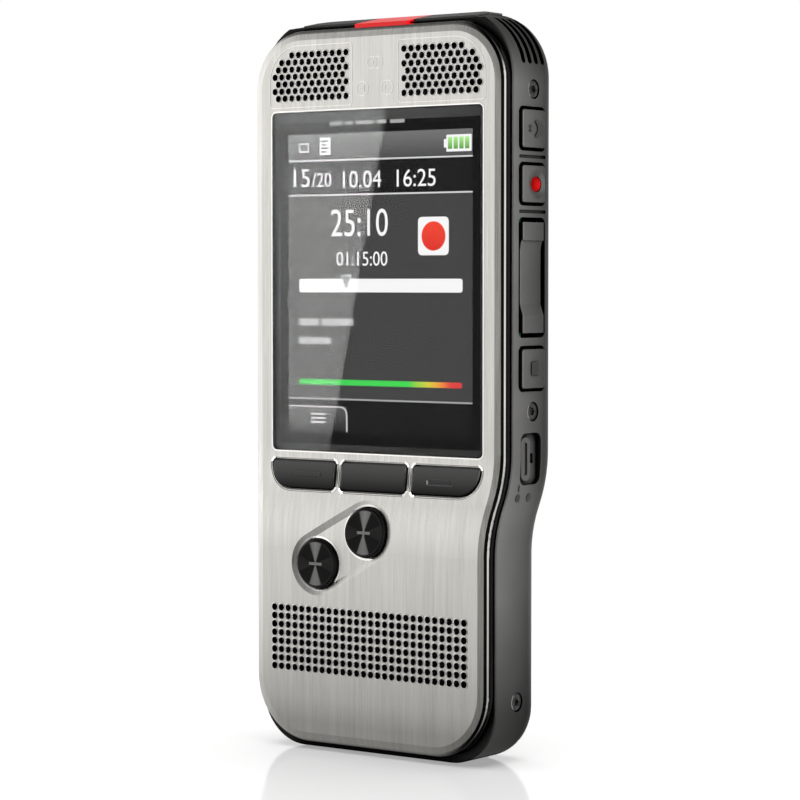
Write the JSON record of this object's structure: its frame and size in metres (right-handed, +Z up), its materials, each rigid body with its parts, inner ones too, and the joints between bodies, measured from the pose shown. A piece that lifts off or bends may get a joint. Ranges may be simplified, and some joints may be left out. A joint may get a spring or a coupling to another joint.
{
  "type": "pocket dictation recorder",
  "caption": "Slim handheld voice recorder with a steel front, colour display, keys, loudspeaker grille, side controls and rear battery cover.",
  "frame": {"origin": "middle of the foot pads' resting faces, on the surface the recorder stands on", "axes": "+Z up along the recorder, front with the display faces -Y, +X to the side with the push buttons"},
  "size_m": [0.0533, 0.0184, 0.1253],
  "materials": {
    "brushed_steel": "vertical brushed, satin",
    "window_glass": "polished, dark tinted",
    "display": "lit screen",
    "diffuser": "satin white",
    "sheet_metal": "plain rolled",
    "flex": "amber film",
    "black_plastic": "fine matte",
    "key_black": "satin, graded",
    "button_black": "spun, glossy",
    "rubber": "matte",
    "dome_steel": "polished",
    "mesh_cloth": "fine woven mesh",
    "cone_paper": "matte pressed paper",
    "magnet": "nickel plated",
    "capsule": "drawn can",
    "shell_grey": "satin moulded",
    "button_grey": "satin moulded",
    "red_mark": "gloss",
    "red_light": "clear red light guide",
    "led": "clear resin",
    "circuit_board": "solder mask",
    "chip": "moulded epoxy",
    "switch_plastic": "moulded",
    "screw": "black oxide",
    "insert_grey": "satin moulded",
    "socket_metal": "plated",
    "gold": "gold flash",
    "battery_label": "wrapped film",
    "card_plastic": "moulded"
  },
  "bodies": {
    "recorder": {"front_plate": "brushed_steel", "display_window": "window_glass", "display_panel": "display", "display_backlight": "diffuser", "display_tray": "sheet_metal", "display_flex": "flex", "middle_frame": "black_plastic", "key_mat": "rubber", "key_domes": "dome_steel", "speaker_mesh": "mesh_cloth", "speaker_basket": "black_plastic", "speaker_cone": "cone_paper", "speaker_magnet": "magnet", "mic_mesh_left": "mesh_cloth", "mic_mesh_right": "mesh_cloth", "mic_capsule_left": "capsule", "mic_capsule_right": "capsule", "mic_boot_left": "rubber", "mic_boot_right": "rubber", "rear_shell": "shell_grey", "rocker_bracket": "black_plastic", "side_board": "circuit_board", "side_switches": "switch_plastic", "switch_body": "switch_plastic", "side_screws_right": "screw", "side_screws_left": "screw", "top_insert": "insert_grey", "record_light": "red_light", "status_led": "led", "foot": "black_plastic", "foot_pads": "rubber", "usb_socket": "socket_metal", "dock_contacts": "gold", "battery": "battery_label", "battery_tray": "black_plastic", "battery_contacts": "gold", "main_board": "circuit_board", "processor_chip": "chip", "memory_chips": "chip", "card_socket": "sheet_metal", "headset_socket": "switch_plastic"},
    "function_key_left": {"function_key_left": "key_black"},
    "function_key_middle": {"function_key_middle": "key_black"},
    "function_key_right": {"function_key_right": "key_black"},
    "plus_button": {"plus_button": "button_black"},
    "minus_button": {"minus_button": "button_black"},
    "insert_button": {"insert_button": "button_grey"},
    "record_button": {"record_button": "button_grey", "record_dot": "red_mark"},
    "search_rocker": {"search_rocker": "button_grey"},
    "stop_button": {"stop_button": "button_grey"},
    "power_slider": {"power_slider": "switch_plastic"},
    "battery_cover": {"battery_cover": "shell_grey"},
    "memory_card": {"memory_card": "card_plastic"}
  },
  "joints": [
    {"name": "function_key_left_press", "type": "slide", "parent": "recorder", "child": "function_key_left", "axis": [0, 1, 0], "range_m": [0, 0.0004], "stiffness_N_per_m": 400, "springref_m": -0.0006},
    {"name": "function_key_middle_press", "type": "slide", "parent": "recorder", "child": "function_key_middle", "axis": [0, 1, 0], "range_m": [0, 0.0004], "stiffness_N_per_m": 400, "springref_m": -0.0006},
    {"name": "function_key_right_press", "type": "slide", "parent": "recorder", "child": "function_key_right", "axis": [0, 1, 0], "range_m": [0, 0.0004], "stiffness_N_per_m": 400, "springref_m": -0.0006},
    {"name": "plus_press", "type": "slide", "parent": "recorder", "child": "plus_button", "axis": [0, 1, 0], "range_m": [0, 0.0004], "stiffness_N_per_m": 400, "springref_m": -0.0006},
    {"name": "minus_press", "type": "slide", "parent": "recorder", "child": "minus_button", "axis": [0, 1, 0], "range_m": [0, 0.0004], "stiffness_N_per_m": 400, "springref_m": -0.0006},
    {"name": "insert_press", "type": "slide", "parent": "recorder", "child": "insert_button", "axis": [-1, 0, 0], "range_m": [0, 0.0004], "stiffness_N_per_m": 400, "springref_m": -0.0006},
    {"name": "record_press", "type": "slide", "parent": "recorder", "child": "record_button", "axis": [-1, 0, 0], "range_m": [0, 0.0004], "stiffness_N_per_m": 400, "springref_m": -0.0006},
    {"name": "stop_press", "type": "slide", "parent": "recorder", "child": "stop_button", "axis": [-1, 0, 0], "range_m": [0, 0.0004], "stiffness_N_per_m": 400, "springref_m": -0.0006},
    {"name": "search_rocker_tilt", "type": "hinge", "parent": "recorder", "child": "search_rocker", "pos_m": [0.024, 0.00122, 0.08088], "axis": [0, 1, 0], "range_deg": [-2.4, 2.4], "stiffness_Nm_per_rad": 0.03},
    {"name": "power_switch_slide", "type": "slide", "parent": "recorder", "child": "power_slider", "axis": [0, 1, 0], "range_m": [0, 0.0024]},
    {"name": "battery_cover_lift", "type": "slide", "parent": "recorder", "child": "battery_cover", "axis": [0, 1, 0], "range_m": [0, 0.015]},
    {"name": "memory_card_slide", "type": "slide", "parent": "recorder", "child": "memory_card", "axis": [-1, 0, 0], "range_m": [0, 0.022]}
  ]
}
